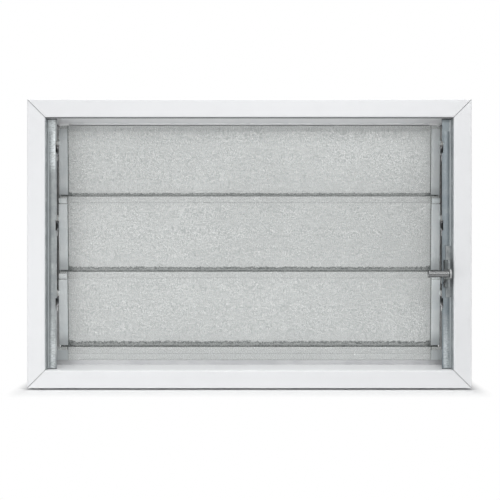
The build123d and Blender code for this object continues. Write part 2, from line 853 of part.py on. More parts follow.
def upright_rivets(places, y, head_face, grip, direction, head_radius):
    """Rivets along Z with their heads on `head_face`; `direction` is where the tails point."""
    steps = [
        (-rivet_head_height, rivet_head_height, head_radius),
        (0.0, grip, rivet_radius),
        (grip, rivet_tail_height, rivet_tail_radius),
    ]
    with BuildPart() as rivets:
        for start, length, radius in steps:
            start_plane = Plane(origin=(0, y, head_face + direction * start), z_dir=(0, 0, direction))
            with BuildSketch(start_plane):
                with Locations(*[(x, 0) for x in places]):
                    Circle(radius)
            extrude(amount=length)
    return rivets.part


def strip_clip(side):
    """A small angle in front of the strip's end, riveted to the side plate."""
    with BuildPart() as clip:
        with BuildSketch(Plane.XY.offset(clip_bottom)):
            with Locations((web_face, clip_y)):
                Rectangle(clip_reach, clip_gauge, align=(Align.MAX, Align.MIN))
                Rectangle(clip_gauge, clip_foot, align=(Align.MAX, Align.MIN))
        extrude(amount=clip_height)
        with Locations(
            Plane(origin=(web_face - clip_gauge, clip_rivet_y, clip_rivet_z), z_dir=(-1, 0, 0))
        ):
            Hole(rivet_radius + static_clearance, depth=2 * clip_gauge)
    return on_side(clip.part, side)


def write_strip():
    with BuildPart() as glass:
        with BuildSketch(Plane.XY.offset(strip_bottom)):
            with Locations((0, strip_y)):
                Rectangle(2 * strip_half, strip_thickness)
        extrude(amount=strip_top - strip_bottom)
        chamfer(glass.edges(), glass_edge_chamfer)
    write(glass.part, "strip_glass")
    write(sill_channel(), "sill_channel")
    channel_floor = opening_bottom + channel_gauge
    head_radius = channel_half_depth - channel_gauge - static_clearance
    places = spread(channel_rivet_count, channel_rivet_spacing)
    grip = channel_gauge + frame_wall
    write(upright_rivets(places, strip_y, channel_floor, grip, -1, head_radius), "channel_rivets")
    with BuildPart() as blocks:
        with BuildSketch(Plane.XY.offset(channel_floor)):
            with Locations(*[(x, strip_y) for x in spread(2, setting_block_spacing)]):
                Rectangle(setting_block_length, strip_thickness)
        extrude(amount=setting_block_height)
    write(blocks.part, "setting_blocks")
    for side in ("left", "right"):
        write(strip_clip(side), f"strip_clip_{side}")
    clip_grip = clip_gauge + plate_gauge + frame_wall
    clip_rivet = side_rivet(clip_rivet_y, clip_rivet_z, web_face - clip_gauge, clip_grip)
    write(both_sides(clip_rivet), "strip_clip_rivets")


# ---- stop and seal under the head ----
def write_head_stop():
    places = spread(stop_rivet_count, stop_rivet_spacing)
    leg_face = opening_top - stop_gauge
    with BuildPart() as stop:
        with BuildSketch(Plane.YZ.offset(-stop_half)):
            with Locations((stop_front, opening_top)):
                Rectangle(stop_gauge, stop_drop, align=(Align.MIN, Align.MAX))
                Rectangle(stop_leg, stop_gauge, align=(Align.MIN, Align.MAX))
        extrude(amount=2 * stop_half)
        with Locations(Plane(origin=(0, stop_rivet_y, leg_face), z_dir=(0, 0, 1))):
            with Locations(*[(x, 0) for x in places]):
                Hole(rivet_radius + static_clearance, depth=2 * stop_gauge)
    write(stop.part, "head_stop")
    with BuildPart() as seal:
        with BuildSketch(Plane.YZ.offset(-stop_half)):
            with Locations((stop_front, stop_lower_edge + seal_rise)):
                Rectangle(seal_thickness, seal_height, align=(Align.MAX, Align.MIN))
        extrude(amount=2 * stop_half)
    write(seal.part, "head_seal")
    grip = stop_gauge + frame_wall
    rivets = upright_rivets(places, stop_rivet_y, leg_face, grip, 1, rivet_head_radius)
    write(rivets, "head_stop_rivets")


os.makedirs("parts", exist_ok=True)
write_frame()
write_side_plates()
write_blades()
write_tie_bars()
write_crank()
write_strip()
write_head_stop()
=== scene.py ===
"""Looks of a jalousie window sash with a crank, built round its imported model."""

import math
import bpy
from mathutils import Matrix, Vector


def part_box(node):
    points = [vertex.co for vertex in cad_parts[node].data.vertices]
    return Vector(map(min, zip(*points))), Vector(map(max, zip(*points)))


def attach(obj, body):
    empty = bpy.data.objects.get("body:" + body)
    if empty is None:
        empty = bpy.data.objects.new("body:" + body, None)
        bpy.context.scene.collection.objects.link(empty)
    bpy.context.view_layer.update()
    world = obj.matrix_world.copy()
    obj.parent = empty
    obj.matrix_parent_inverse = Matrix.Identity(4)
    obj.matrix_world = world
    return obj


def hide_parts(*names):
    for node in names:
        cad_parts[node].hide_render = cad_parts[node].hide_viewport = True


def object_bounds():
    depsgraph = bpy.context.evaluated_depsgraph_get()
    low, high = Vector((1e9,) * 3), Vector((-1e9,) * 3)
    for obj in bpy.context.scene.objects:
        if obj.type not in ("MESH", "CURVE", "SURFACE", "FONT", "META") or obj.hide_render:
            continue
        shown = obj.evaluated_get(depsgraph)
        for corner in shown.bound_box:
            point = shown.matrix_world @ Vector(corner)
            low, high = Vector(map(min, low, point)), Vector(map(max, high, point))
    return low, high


bl_info = {
    "name": "Jalousie window sash",
    "version": (1, 0, 0),
    "blender": (4, 5, 0),
    "location": "3D View > Sidebar > Jalousie",
    "description": "Hammered glass blades, galvanised steelwork and a powder-coated frame",
    "category": "Object",
}

from functools import partial

import bmesh
import bpy
from bpy.props import FloatProperty, FloatVectorProperty, IntProperty, PointerProperty
from mathutils import Matrix, Vector

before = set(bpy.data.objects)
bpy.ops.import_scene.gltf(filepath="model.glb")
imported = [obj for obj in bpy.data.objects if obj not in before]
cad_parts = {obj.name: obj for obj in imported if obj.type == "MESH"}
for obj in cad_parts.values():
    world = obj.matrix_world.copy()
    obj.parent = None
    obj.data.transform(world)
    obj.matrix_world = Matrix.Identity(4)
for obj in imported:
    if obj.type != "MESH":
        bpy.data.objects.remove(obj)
CAD_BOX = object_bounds()
MM = 0.001

BLADES = ("upper", "middle", "lower")
SIDES = ("left", "right")
WHITE = (1.0, 1.0, 1.0, 1.0)

# Strength and depth of a bump
FINE_BUMP = (0.3, 0.06 * MM)
SMOOTH_BUMP = (0.25, 0.03 * MM)
# How a grain is stretched along each axis
DRAWN_ALONG_X = (0.01, 1.0, 1.0)
BRUSHED_ALONG_X = (0.08, 1.0, 1.0)
DRAWN_UPRIGHT = (1.0, 1.0, 0.05)
ROLLED_UPRIGHT = (1.0, 1.0, 0.35)


# ---- sizes and colours that a user would change ----
ColourProperty = partial(FloatVectorProperty, subtype="COLOR", size=3, min=0.0, max=1.0)
LengthProperty = partial(FloatProperty, subtype="DISTANCE", unit="LENGTH")
PowerProperty = partial(FloatProperty, subtype="POWER")


class GlassSettings(bpy.types.PropertyGroup):
    """Sizes and colours of the panes"""

    tint: ColourProperty(name="Tint", description="Colour of the glass", default=(0.885, 0.9, 0.89))
    hollow_tint: ColourProperty(
        name="Hollow tint",
        description="Colour in the hollows of the hammered face",
        default=(0.545, 0.57, 0.56),
    )
    # The edge tint is also the colour of the painted shadow lines where two blades meet and beside the
    # holders
    edge_and_shadow_tint: ColourProperty(
        name="Edge tint",
        description="Colour of the cut edges and of the line where two blades rub",
        default=(0.10, 0.115, 0.112),
    )
    grain: LengthProperty(
        name="Grain", description="Width of one dimple of the hammered face", default=2.2 * MM
    )
    fine_grain: LengthProperty(
        name="Fine grain", description="Width of the small ripples between the dimples", default=1.3 * MM
    )
    relief: LengthProperty(
        name="Relief", description="Depth of the hammered face, cut into the pane", default=0.055 * MM
    )
    overlap: LengthProperty(
        name="Overlap",
        description="How far a blade reaches below the top edge of the next one",
        default=9.0 * MM,
    )
    mesh_step: LengthProperty(
        name="Mesh step", description="Spacing of the points that carry the relief", default=1.2 * MM
    )
    seed: IntProperty(name="Seed", description="Which pattern the dimples follow", default=7)
    blade_tilt: FloatProperty(
        name="Blade tilt",
        description="How far a closed blade leans from upright",
        subtype="ANGLE",
        unit="ROTATION",
        default=math.radians(2.5),
    )


class SteelSettings(bpy.types.PropertyGroup):
    """Colours of the zinc"""

    light_zinc: ColourProperty(
        name="Light zinc", description="Lighter patches of the galvanised sheet", default=(0.43, 0.455, 0.46)
    )
    dark_zinc: ColourProperty(
        name="Dark zinc", description="Darker patches of the galvanised sheet", default=(0.31, 0.335, 0.345)
    )
    bright_zinc: ColourProperty(
        name="Bright zinc", description="Plating of the crank, pins and rivets", default=(0.56, 0.57, 0.575)
    )


class CoatSettings(bpy.types.PropertyGroup):
    """The frame's powder coat"""

    colour: ColourProperty(name="Powder coat", description="Colour of the frame", default=(0.8, 0.805, 0.815))
    peel: LengthProperty(name="Peel", description="Width of the coat's orange-peel ripples", default=1.6 * MM)


class StageSettings(bpy.types.PropertyGroup):
    """Camera, lamps and floor"""

    camera_distance: LengthProperty(
        name="Camera distance", description="From the frame's room face to the camera", default=1.0
    )
    camera_height: LengthProperty(name="Camera height", description="Above the floor", default=0.1866)
    camera_shift_right: LengthProperty(
        name="Camera offset", description="To the right of the window's middle", default=0.0008
    )
    focal_length: FloatProperty(name="Focal length", description="Of the lens, in millimetres", default=53.4)
    sky_light: FloatProperty(name="Sky light", description="Strength of light from all round", default=0.4)
    key_light: PowerProperty(
        name="Key light", description="Power of the lamp in front, a little to the right", default=5.6
    )
    fill_light: PowerProperty(name="Fill light", description="Power of the lamp on the left", default=1.2)
    top_light: PowerProperty(
        name="Top light", description="Power of the steep lamp over the window", default=19.5
    )
    floor_gap: LengthProperty(
        name="Floor gap", description="Between the sill's underside and the floor", default=0.0025
    )
    shadow_reach: LengthProperty(
        name="Shadow reach",
        description="How far in front of the window the floor keeps its shadow",
        default=0.06,
    )
    side_reach: LengthProperty(
        name="Side reach",
        description="How far beside the window the floor keeps its shadow",
        default=0.024,
    )
    # Painted shade: the camera sees the floor near the window in this darker colour
    near_floor: ColourProperty(
        name="Floor close by",
        description="Colour of the floor in the window's shadow, as it is seen",
        default=(0.8, 0.8, 0.8),
    )
    floor_colour: ColourProperty(name="Floor", description="Colour of the floor", default=(0.97, 0.97, 0.97))


# ---- nodes of any tree ----
def set_inputs(tree, node, values):
    """Sets a node's inputs by label or place: a socket is linked, anything else is the input's own value."""
    for place, value in values.items():
        if isinstance(value, bpy.types.NodeSocket):
            tree.links.new(value, node.inputs[place])
        else:
            node.inputs[place].default_value = value


def add_node(tree, kind, values=None, **settings):
    """A new node with its settings and its inputs."""
    node = tree.nodes.new(kind)
    for name, value in settings.items():
        setattr(node, name, value)
    set_inputs(tree, node, values or {})
    return node


def math_node(tree, operation, *values):
    """A sum, product or the like of sockets and plain numbers."""
    return add_node(tree, "ShaderNodeMath", dict(enumerate(values)), operation=operation).outputs["Value"]


def combined(tree, operation, first, *others):
    """Several values put together by one operation, two at a time."""
    for value in others:
        first = math_node(tree, operation, first, value)
    return first


def vector_node(tree, operation, *values):
    """A vector that comes of one operation on other vectors."""
    node = add_node(tree, "ShaderNodeVectorMath", dict(enumerate(values)), operation=operation)
    return node.outputs["Vector"]


def vector_of(tree, x=0.0, y=0.0, z=0.0):
    """A vector from sockets or plain numbers."""
    return add_node(tree, "ShaderNodeCombineXYZ", {"X": x, "Y": y, "Z": z}).outputs["Vector"]


def axes(tree, vector):
    """The X, Y and Z of a vector."""
    apart = add_node(tree, "ShaderNodeSeparateXYZ", {"Vector": vector})
    return [apart.outputs[axis] for axis in "XYZ"]


def shared(collection, name, maker):
    """The named material or tree, made once."""
    return collection.get(name) or maker()


# ---- colours and masks ----
def toned(colour, share=1.0):
    """A colour times `share`, opaque and no brighter than white."""
    return (*(min(1.0, share * part) for part in colour[:3]), 1.0)


def blend_colours(tree, factor, first, second):
    """`first` where `factor` is 0 and `second` where it is 1; each is a colour or a socket."""
    mix = {"Factor": factor, "A": first, "B": second}
    return add_node(tree, "ShaderNodeMix", mix, data_type="RGBA").outputs["Result"]


def ranged(tree, value, low, high):
    """`value` from 0..1 spread over low..high."""
    spread = {"Value": value, "To Min": low, "To Max": high}
    return add_node(tree, "ShaderNodeMapRange", spread).outputs["Result"]


def step_between(tree, value, low, high, bottom=0.0, top=1.0):
    """`value` from low..high eased to bottom..top."""
    step = {"Value": value, "From Min": low, "From Max": high, "To Min": bottom, "To Max": top}
    return add_node(tree, "ShaderNodeMapRange", step, interpolation_type="SMOOTHSTEP").outputs["Result"]


def band_between(tree, value, rise, fall, top=1.0):
    """`top` between two eased steps of `value`, one up over `rise` and one down over `fall`; 0 outside."""
    up = step_between(tree, value, *rise)
    return math_node(tree, "MULTIPLY", up, step_between(tree, value, *fall, top, 0.0))


def past(start, *distances):
    """The places that lie so many millimetres past `start`, or before it where negative."""
    return [start + distance * MM for distance in distances]


def attribute(tree, name):
    """A number that the mesh carries."""
    return add_node(tree, "ShaderNodeAttribute", attribute_name=name).outputs["Fac"]


# ---- shader node groups ----
def new_group(name, inputs, outputs):
    """A shader group with float, vector or colour sockets; returns it with its inputs and its end."""
    group = bpy.data.node_groups.new(name, "ShaderNodeTree")
    for label, (kind, default) in inputs.items():
        socket = group.interface.new_socket(name=label, in_out="INPUT", socket_type=f"NodeSocket{kind}")
        if default is not None:
            socket.default_value = default
    for label, kind in outputs.items():
        group.interface.new_socket(name=label, in_out="OUTPUT", socket_type=f"NodeSocket{kind}")
    return group, group.nodes.new("NodeGroupInput").outputs, group.nodes.new("NodeGroupOutput")


def patches_group():
    """Soft light and dark patches: two colours mixed by cloudy noise."""
    group, given, result = new_group(
        "soft_patches",
        {
            "Vector": ("Vector", None),
            "Scale": ("Float", 60.0),
            "Light": ("Color", (0.8, 0.8, 0.8, 1.0)),
            "Dark": ("Color", (0.6, 0.6, 0.6, 1.0)),
            "Low": ("Float", 0.35),
            "High": ("Float", 0.65),
        },
        {"Color": "Color", "Mask": "Float"},
    )
    clouds = {"Vector": given["Vector"], "Scale": given["Scale"], "Detail": 4.0}
    noise = add_node(group, "ShaderNodeTexNoise", clouds).outputs["Fac"]
    limits = {"Value": noise, "From Min": given["Low"], "From Max": given["High"]}
    mask = add_node(group, "ShaderNodeMapRange", limits).outputs["Result"]
    colour = blend_colours(group, mask, given["Dark"], given["Light"])
    set_inputs(group, result, {"Color": colour, "Mask": mask})
    return group


def spangle_group():
    """Zinc crystals: irregular flakes, each with its own tone and slope."""
    group, given, result = new_group(
        "zinc_spangle",
        {
            "Vector": ("Vector", None),
            "Scale": ("Float", 260.0),
            "Color": ("Color", (0.5, 0.5, 0.5, 1.0)),
            "Contrast": ("Float", 0.25),
        },
        {"Color": "Color", "Flake": "Float"},
    )
    flakes = {"Vector": given["Vector"], "Scale": given["Scale"], "Randomness": 1.0}
    cells = add_node(group, "ShaderNodeTexVoronoi", flakes).outputs["Color"]
    tone = add_node(group, "ShaderNodeSeparateColor", {"Color": cells}).outputs
    swing = math_node(group, "SUBTRACT", tone["Red"], 0.5)
    share = math_node(group, "MULTIPLY_ADD", swing, given["Contrast"], 1.0)
    shade = add_node(group, "ShaderNodeVectorMath", {0: given["Color"], "Scale": share}, operation="SCALE")
    set_inputs(group, result, {"Color": shade.outputs["Vector"], "Flake": tone["Green"]})
    return group


def grain_group():
    """A fine, even grain for bumps: noise stretched along one axis where wanted."""
    group, given, result = new_group(
        "fine_grain",
        {
            "Vector": ("Vector", None),
            "Scale": ("Float", 600.0),
            "Stretch": ("Vector", (1.0, 1.0, 1.0)),
            "Detail": ("Float", 3.0),
        },
        {"Height": "Float"},
    )
    stretched = vector_node(group, "MULTIPLY", given["Vector"], given["Stretch"])
    ripples = {"Vector": stretched, "Scale": given["Scale"], "Detail": given["Detail"]}
    noise = add_node(group, "ShaderNodeTexNoise", ripples)
    set_inputs(group, result, {"Height": noise.outputs["Fac"]})
    return group


GROUPS = {"soft_patches": patches_group, "zinc_spangle": spangle_group, "fine_grain": grain_group}


# ---- materials ----
def new_material(name):
    """An empty material; returns it with its tree, its shader and the piece's own coordinates."""
    material = bpy.data.materials.new(name)
    material.use_nodes = True
    tree = material.node_tree
    shader = next(node for node in tree.nodes if node.type == "BSDF_PRINCIPLED")
    return material, tree, shader, add_node(tree, "ShaderNodeTexCoord").outputs["Object"]


def place_group(tree, name, vector, **values):
    """One of the shared groups inside a material, with its own values; returns its outputs."""
    group = shared(bpy.data.node_groups, name, GROUPS[name])
    return add_node(tree, "ShaderNodeGroup", {"Vector": vector, **values}, node_tree=group).outputs


def finish(tree, shader, values, height, strength, depth):
    """Gives a material's shader its values and a bump from `height`."""
    bump = add_node(tree, "ShaderNodeBump", {"Strength": strength, "Distance": depth, "Height": height})
    set_inputs(tree, shader, {**values, "Normal": bump.outputs["Normal"]})


def even_stock(name, light, dark, patches, roughness, grain, bump, fixed):
    """Stock of one kind all over: two near tones in patches, and a fine grain."""
    material, tree, shader, place = new_material(name)
    tone = place_group(tree, "soft_patches", place, Light=toned(light), Dark=toned(dark), **patches)
    height = place_group(tree, "fine_grain", place, **grain)["Height"]
    values = {"Base Color": tone["Color"], "Roughness": ranged(tree, tone["Mask"], *roughness), **fixed}
    finish(tree, shader, values, height, *bump)
    return material


# Light tone, dark tone, patches to a metre, roughness, grains to a metre, how metallic it is
STOCKS = {
    "cast_keys": ((0.56, 0.56, 0.57), (0.44, 0.44, 0.45), 90.0, (0.45, 0.6), 700.0, 0.85),
    "spring_strip": ((0.42, 0.43, 0.45), (0.33, 0.34, 0.36), 120.0, (0.28, 0.4), 1200.0, 0.9),
    "nylon_washers": ((0.78, 0.78, 0.76), (0.72, 0.72, 0.70), 80.0, (0.45, 0.55), 500.0, 0.0),
    "grey_pile": ((0.15, 0.155, 0.16), (0.09, 0.092, 0.095), 900.0, (0.8, 0.95), 2400.0, 0.0),
    "seal_rubber": ((0.16, 0.16, 0.165), (0.12, 0.12, 0.125), 150.0, (0.6, 0.75), 900.0, 0.0),
}


def plain_stock(name):
    """Castings, spring steel, nylon, pile or rubber, by its name in the table."""
    light, dark, patches, roughness, fineness, metallic = STOCKS[name]
    grain = {"Scale": fineness, "Detail": 4.0}
    fixed = {"Metallic": metallic}
    return even_stock(name, light, dark, {"Scale": patches}, roughness, grain, FINE_BUMP, fixed)


def powder_coat(settings):
    """White coat with a faint orange peel, and a thin grey line where the mitres meet."""
    material, tree, shader, place = new_material("frame_coat")
    joint_edge, joint_strength = (0.3 * MM, 1.1 * MM), 0.62
    joint_grey = (0.25, 0.25, 0.26, 1.0)
    light, dark = toned(settings.colour), toned(settings.colour, 0.985)
    tone = place_group(tree, "soft_patches", place, Scale=14.0, Light=light, Dark=dark, Low=0.3, High=0.7)
    low, high = opening()
    x, _, z = axes(tree, place)
    across = math_node(tree, "SUBTRACT", math_node(tree, "ABSOLUTE", x), high.x)
    from_middle = math_node(tree, "SUBTRACT", z, (low.z + high.z) / 2)
    up = math_node(tree, "SUBTRACT", math_node(tree, "ABSOLUTE", from_middle), (high.z - low.z) / 2)
    off_mitre = math_node(tree, "ABSOLUTE", math_node(tree, "SUBTRACT", across, up))
    joint = step_between(tree, off_mitre, *joint_edge, joint_strength, 0.0)
    peel = place_group(tree, "fine_grain", place, Scale=1.0 / settings.peel, Detail=1.0)
    values = {
        "Base Color": blend_colours(tree, joint, tone["Color"], joint_grey),
        "Roughness": ranged(tree, tone["Mask"], 0.34, 0.42),
        "Specular IOR Level": 0.4,
    }
    finish(tree, shader, values, peel["Height"], 0.12, 0.08 * MM)
    return material


def zinc_sheet(tree, shader, place, tones, patches, flakes, contrast, stretch=ROLLED_UPRIGHT):
    """Patches under zinc crystals, with the sheet's roughness and grain; returns the colour."""
    tone = {"Scale": patches, "Light": tones[0], "Dark": tones[1], "Low": 0.36, "High": 0.66}
    patchy = place_group(tree, "soft_patches", place, **tone)["Color"]
    spangle = place_group(tree, "zinc_spangle", place, Scale=flakes, Color=patchy, Contrast=contrast)
    grain = place_group(tree, "fine_grain", place, Scale=900.0, Stretch=stretch, Detail=4.0)
    rough = ranged(tree, spangle["Flake"], 0.34, 0.52)
    finish(tree, shader, {"Roughness": rough}, grain["Height"], *FINE_BUMP)
    return spangle["Color"]


def galvanised(settings, name, stretch=ROLLED_UPRIGHT, metallic=0.82, shade=1.0):
    """Galvanised sheet, its grain stretched along the piece."""
    material, tree, shader, place = new_material(name)
    tones = toned(settings.light_zinc, shade), toned(settings.dark_zinc, shade)
    patches, flakes, contrast = 70.0, 230.0, 0.22
    colour = zinc_sheet(tree, shader, place, tones, patches, flakes, contrast, stretch)
    set_inputs(tree, shader, {"Base Color": colour, "Metallic": metallic})
    return material


def side_plate_steel(settings):
    """Side plates: painted highlights along the rib and the bend, painted shade in the recess behind the
    flange, in the outer corner and at both ends, and painted shade with a bluer tone on the right-hand plate.
    """
    material, tree, shader, place = new_material("side_plate_zinc")
    # Edges on a plate, each as the two ends of a soft step: in from the web, back from the rib, up and down
    low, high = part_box("side_plate_right")
    rib_inner, rib_outer = past(high.x, -11.4, -10.6), past(high.x, -3.1, -2.3)
    fold, corner = past(high.x, -3.0, -2.2), past(high.x, -0.8, -0.1)
    recess, flange_back = past(high.x, -4.0, -2.0), past(low.y, 2.3, 3.9)
    sill_joint, head_joint = past(low.z, 0.5, 1.5), past(high.z, -1.9, -0.7)
    rubbed_low, rubbed_high = past(low.z, 23.7, 85.7), past(high.z, -77.7, -59.7)
    middle = past(0.0, -10.0, 10.0)
    # Tone of the painted highlights on the rib and the bend
    bare = toned(settings.light_zinc, 1.6)
    # Darker, bluer tone of the painted shade on the right-hand plate
    shaded_blue = (0.15, 0.20, 0.235, 1.0)
    # Near-black colour of the painted shade
    painted_shade_colour = (0.018, 0.021, 0.022, 1.0)

    tones = toned(settings.light_zinc, 0.72), toned(settings.dark_zinc, 0.68)
    patches, flakes, contrast = 55.0, 300.0, 0.14
    zinc = zinc_sheet(tree, shader, place, tones, patches, flakes, contrast)
    x, y, z = axes(tree, place)
    out = math_node(tree, "ABSOLUTE", x)
    rib = band_between(tree, out, rib_inner, rib_outer)
    on_left = step_between(tree, x, *middle, 1.0, 0.0)
    high_up = math_node(tree, "MULTIPLY", on_left, step_between(tree, z, *rubbed_high))
    low_down = step_between(tree, z, *rubbed_low, 0.75, 0.0)
    # Strength of the painted highlight on the rib: on both plates low down, on the left plate high up
    rib_highlight_strength = math_node(tree, "MULTIPLY_ADD", math_node(tree, "MAXIMUM", high_up, low_down), 0.8, 0.06)
    streaks = place_group(tree, "fine_grain", place, Scale=300.0, Stretch=(1.0, 1.0, 3.0), Detail=4.0)
    broken = step_between(tree, streaks["Height"], 0.3, 0.62, 0.3, 1.0)
    rubbed = combined(tree, "MULTIPLY", rib, rib_highlight_strength, broken)
    # The right-hand plate is blended towards the darker, bluer tone: painted shade
    right_shaded = blend_colours(tree, step_between(tree, x, *middle, 0.0, 0.45), zinc, shaded_blue)
    # A painted highlight along the bend by the web
    bend_highlight = step_between(tree, out, *fold, 0.0, 0.8)
    colour = blend_colours(tree, math_node(tree, "MAXIMUM", rubbed, bend_highlight), right_shaded, bare)
    hidden = step_between(tree, y, *flange_back)
    # Painted shade: the outer corner, the ends by sill and head, and the recess behind the flange
    painted_shade_parts = (
        step_between(tree, out, *corner, 0.0, 0.3),
        step_between(tree, z, *sill_joint, 0.85, 0.0),
        step_between(tree, z, *head_joint, 0.0, 0.85),
        math_node(tree, "MULTIPLY", hidden, step_between(tree, out, *recess, 0.0, 0.93)),
    )
    painted_shade = combined(tree, "MAXIMUM", *painted_shade_parts)
    metallic = math_node(tree, "MULTIPLY_ADD", painted_shade, -0.5, 0.5)
    set_inputs(tree, shader, {"Base Color": blend_colours(tree, painted_shade, colour, painted_shade_colour), "Metallic": metallic})
    return material


def holder_steel(settings):
    """Smoother sheet of the blade holders, drawn along their length; its light, almost unmetallic colour is
    painted light, with painted shade on the upper holders and darker near each holder's foot.
    """
    material, tree, shader, place = new_material("holder_zinc")
    # Far lighter than the zinc and almost unmetallic: painted light for the bright surroundings the holders
    # would reflect
    light, dark = toned(settings.light_zinc, 2.25), toned(settings.light_zinc, 2.0)
    tone = place_group(tree, "soft_patches", place, Scale=45.0, Light=light, Dark=dark, Low=0.3, High=0.7)
    foot, next_foot, upper_foot = (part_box(f"blade_holder_{name}_right")[0].z for name in reversed(BLADES))
    pitch = next_foot - foot
    upper_end, darker_foot_span = past(upper_foot, -10.2, 9.8), past(0.0, 3.0, 22.0)
    z = axes(tree, place)[2]
    up_the_blade = math_node(tree, "MODULO", math_node(tree, "SUBTRACT", z, foot), pitch)
    # Painted shade on the upper holders, under the head
    upper_shade = step_between(tree, z, *upper_end, 0.0, 0.28)
    # Darker near each holder's foot
    darker_foot = step_between(tree, up_the_blade, *darker_foot_span, 0.5, 0.0)
    darkened = math_node(tree, "MAXIMUM", upper_shade, darker_foot)
    drawn = place_group(tree, "fine_grain", place, Scale=800.0, Stretch=DRAWN_UPRIGHT, Detail=3.0)
    values = {
        "Base Color": blend_colours(tree, darkened, tone["Color"], toned(settings.dark_zinc)),
        "Roughness": ranged(tree, tone["Mask"], 0.36, 0.46),
        "Metallic": 0.05,
    }
    finish(tree, shader, values, drawn["Height"], 0.2, 0.04 * MM)
    return material


def grip_zinc(settings):
    """The rolled grip: painted highlight bands above and below its seam, and painted shade on the seam and
    along its top and bottom.
    """
    material, tree, shader, place = new_material("grip_zinc")
    low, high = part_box("crank_grip")
    radius = (high.z - low.z) / 2
    rise = math_node(tree, "SUBTRACT", axes(tree, place)[2], ((low + high) / 2).z)
    share = math_node(tree, "ABSOLUTE", math_node(tree, "DIVIDE", rise, radius))
    # Painted highlight bands above and below the seam; painted shade on the seam and along the top and bottom
    bright = band_between(tree, share, (0.05, 0.22), (0.45, 0.95))
    scuffs = place_group(tree, "fine_grain", place, Scale=420.0, Stretch=(0.5, 1.0, 1.0), Detail=4.0)
    scuffed = step_between(tree, scuffs["Height"], 0.3, 0.7, 0.75, 1.0)
    rubbed = math_node(tree, "MULTIPLY", bright, scuffed)
    # Tones of the painted shade and of the painted highlights
    darkened, grip_highlight_tone = toned(settings.bright_zinc, 0.2), toned(settings.bright_zinc, 0.42)
    brushed = place_group(tree, "fine_grain", place, Scale=1500.0, Stretch=BRUSHED_ALONG_X, Detail=2.0)
    values = {
        "Base Color": blend_colours(tree, rubbed, darkened, grip_highlight_tone),
        "Roughness": ranged(tree, scuffs["Height"], 0.2, 0.38),
        "Metallic": 0.9,
    }
    finish(tree, shader, values, brushed["Height"], *SMOOTH_BUMP)
    return material


def bright_zinc(settings, name, roughness=(0.28, 0.4), shade=1.0):
    """Zinc plate, smooth and even."""
    light, dark = toned(settings.bright_zinc, shade), toned(settings.bright_zinc, 0.84 * shade)
    patches = {"Scale": 180.0, "Low": 0.3, "High": 0.7}
    grain = {"Scale": 1500.0, "Detail": 2.0}
    return even_stock(name, light, dark, patches, roughness, grain, SMOOTH_BUMP, {"Metallic": 0.95})


def mill_aluminium(name, tone):
    """Extruded along X, so the die lines run along X; `tone` is how pale it is."""
    light = (tone, 1.01 * tone, 1.02 * tone)
    dark = (0.87 * tone, 0.88 * tone, 0.9 * tone)
    lines = {"Scale": 1400.0, "Stretch": DRAWN_ALONG_X, "Detail": 3.0}
    bump, fixed = (0.3, 0.04 * MM), {"Metallic": 0.6}
    return even_stock(name, light, dark, {"Scale": 40.0}, (0.5, 0.6), lines, bump, fixed)


